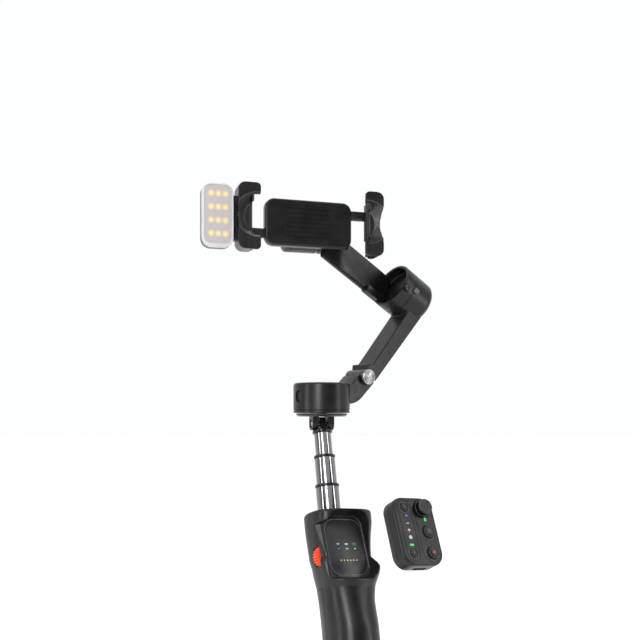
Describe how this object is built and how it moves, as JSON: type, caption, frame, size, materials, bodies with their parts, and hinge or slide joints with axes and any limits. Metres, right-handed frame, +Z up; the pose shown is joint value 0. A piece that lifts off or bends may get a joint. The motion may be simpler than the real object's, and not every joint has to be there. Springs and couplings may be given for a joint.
{
  "type": "camera gimbal",
  "caption": "Folding three-axis phone gimbal with a contoured grip, telescopic rod, rotating phone clamp, clip-on fill light and a detachable remote.",
  "frame": {"origin": "the middle of the grip, where the hand closes round it", "axes": "+Z up along the gimbal's length, -Y the way the phone's screen faces, +X to the right seen from the front"},
  "size_m": [0.1647, 0.1543, 0.3495],
  "materials": {
    "board": "circuit board",
    "cell": "shrink sleeve",
    "chrome": "polished",
    "copper": "enamelled copper wire",
    "frost": "frosted, translucent",
    "gold": "gold plated pins in a block",
    "orange": "orange",
    "rubber": "matt",
    "shell": "satin black",
    "steel": "brushed",
    "trim": "black"
  },
  "bodies": {
    "handle": {"handle_front_shell": "shell", "handle_rear_shell": "shell", "battery_cell": "cell", "control_board": "board", "pogo_block": "gold", "base_cap": "rubber", "tripod_thread_insert": "steel"},
    "zoom_dial": {"zoom_dial": "orange"},
    "trigger": {"trigger": "trim"},
    "power_button": {"power_button": "trim"},
    "remote": {"remote_back_case": "shell", "remote_front_case": "shell", "remote_board": "board", "remote_cell": "cell", "joystick_ring": "trim"},
    "joystick": {"joystick": "rubber"},
    "previous_button": {"previous_button": "trim"},
    "next_button": {"next_button": "trim"},
    "mode_button": {"mode_button": "trim"},
    "record_button": {"record_button": "trim"},
    "rod_outer": {"rod_outer_tube": "chrome", "rod_outer_lip": "trim"},
    "rod_middle": {"rod_middle_tube": "chrome", "rod_middle_lip": "trim"},
    "rod_inner": {"rod_inner_tube": "chrome", "rod_head": "trim"},
    "pan_base": {"pan_base": "trim", "neck_pin": "steel", "pan_stator": "copper"},
    "pan_arm": {"pan_housing": "shell", "pan_magnet_ring": "steel", "pan_bearing": "steel", "fold_barrel": "steel"},
    "roll_arm": {"roll_arm": "shell", "roll_stator": "copper", "fold_pin": "steel", "roll_lock_lug": "trim"},
    "tilt_arm": {"tilt_arm": "shell", "roll_magnet_ring": "steel", "roll_stop_lug": "trim", "tilt_stator": "copper"},
    "tilt_bracket": {"tilt_bracket": "shell", "tilt_magnet_ring": "steel"},
    "clamp": {"clamp_back": "shell", "clamp_spring": "steel"},
    "right_jaw": {"right_jaw": "shell", "right_jaw_pad": "rubber"},
    "left_jaw": {"left_jaw": "shell", "left_jaw_pad": "rubber", "light_foot": "trim"},
    "light": {"light_back_shell": "shell", "light_diffuser": "frost", "light_board": "board", "light_cell": "cell"}
  },
  "joints": [
    {"name": "zoom_dial_spin", "type": "hinge", "parent": "handle", "child": "zoom_dial", "pos_m": [-0.0122, 0.0148, 0.06111], "axis": [-0.2588, 0.9261, -0.2743], "continuous": true},
    {"name": "trigger_pull", "type": "slide", "parent": "handle", "child": "trigger", "axis": [0.2588, -0.9261, 0.2743], "range_m": [0, 0.0023], "stiffness_N_per_m": 400},
    {"name": "power_press", "type": "slide", "parent": "handle", "child": "power_button", "axis": [-0.9659, -0.2482, 0.0735], "range_m": [0, 0.0007], "stiffness_N_per_m": 600},
    {"name": "remote_dock", "type": "slide", "parent": "handle", "child": "remote", "axis": [0.258, -0.9462, 0.1954], "range_m": [-0.06161, 0]},
    {"name": "joystick_tilt", "type": "hinge", "parent": "remote", "child": "joystick", "pos_m": [0.02413, -0.04209, 0.09339], "axis": [0.9659, 0.2482, -0.0735], "range_deg": [-10, 10], "stiffness_Nm_per_rad": 0.03},
    {"name": "previous_press", "type": "slide", "parent": "remote", "child": "previous_button", "axis": [-0.2549, 0.8628, -0.4367], "range_m": [0, 0.0005], "stiffness_N_per_m": 600},
    {"name": "next_press", "type": "slide", "parent": "remote", "child": "next_button", "axis": [-0.2549, 0.8628, -0.4367], "range_m": [0, 0.0005], "stiffness_N_per_m": 600},
    {"name": "mode_press", "type": "slide", "parent": "remote", "child": "mode_button", "axis": [-0.2549, 0.8628, -0.4367], "range_m": [0, 0.0005], "stiffness_N_per_m": 600},
    {"name": "record_press", "type": "slide", "parent": "remote", "child": "record_button", "axis": [-0.2549, 0.8628, -0.4367], "range_m": [0, 0.0005], "stiffness_N_per_m": 600},
    {"name": "rod_outer_slide", "type": "slide", "parent": "handle", "child": "rod_outer", "axis": [0, 0.284, 0.9588], "range_m": [-0.015, 0.018]},
    {"name": "rod_middle_slide", "type": "slide", "parent": "rod_outer", "child": "rod_middle", "axis": [0, 0.284, 0.9588], "range_m": [-0.0165, 0.018]},
    {"name": "rod_inner_slide", "type": "slide", "parent": "rod_middle", "child": "rod_inner", "axis": [0, 0.284, 0.9588], "range_m": [-0.0125, 0.02]},
    {"name": "neck_tilt", "type": "hinge", "parent": "rod_inner", "child": "pan_base", "pos_m": [-0.00349, 0.05064, 0.14144], "axis": [1, 0, 0], "range_deg": [-16.5, 45]},
    {"name": "pan_turn", "type": "hinge", "parent": "pan_base", "child": "pan_arm", "pos_m": [-0.00351, 0.05069, 0.14834], "axis": [0, 0, 1], "continuous": true},
    {"name": "arm_fold", "type": "hinge", "parent": "pan_arm", "child": "roll_arm", "pos_m": [0.02423, 0.06013, 0.17204], "axis": [0.3223, -0.9466, 0], "range_deg": [0, 78]},
    {"name": "roll_turn", "type": "hinge", "parent": "roll_arm", "child": "tilt_arm", "pos_m": [0.05966, 0.07219, 0.23175], "axis": [0.8311, 0.2829, -0.4787], "range_deg": [-90, 90]},
    {"name": "tilt_turn", "type": "hinge", "parent": "tilt_arm", "child": "tilt_bracket", "pos_m": [-0.01099, 0.07714, 0.26994], "axis": [1, 0, 0], "range_deg": [-30, 10]},
    {"name": "clamp_turn", "type": "hinge", "parent": "tilt_bracket", "child": "clamp", "pos_m": [-0.01099, 0.04414, 0.27094], "axis": [0, 1, 0], "range_deg": [-90, 0]},
    {"name": "right_jaw_slide", "type": "slide", "parent": "clamp", "child": "right_jaw", "axis": [1, 0, 0], "range_m": [-0.008, 0.0075]},
    {"name": "left_jaw_slide", "type": "slide", "parent": "clamp", "child": "left_jaw", "axis": [-1, 0, 0], "range_m": [-0.008, 0.0075]},
    {"name": "light_pull", "type": "slide", "parent": "left_jaw", "child": "light", "axis": [-1, 0, 0], "range_m": [0, 0.03]}
  ],
  "couplings": [
    {"joint": "left_jaw_slide", "follows": "right_jaw_slide", "ratio": 1}
  ]
}
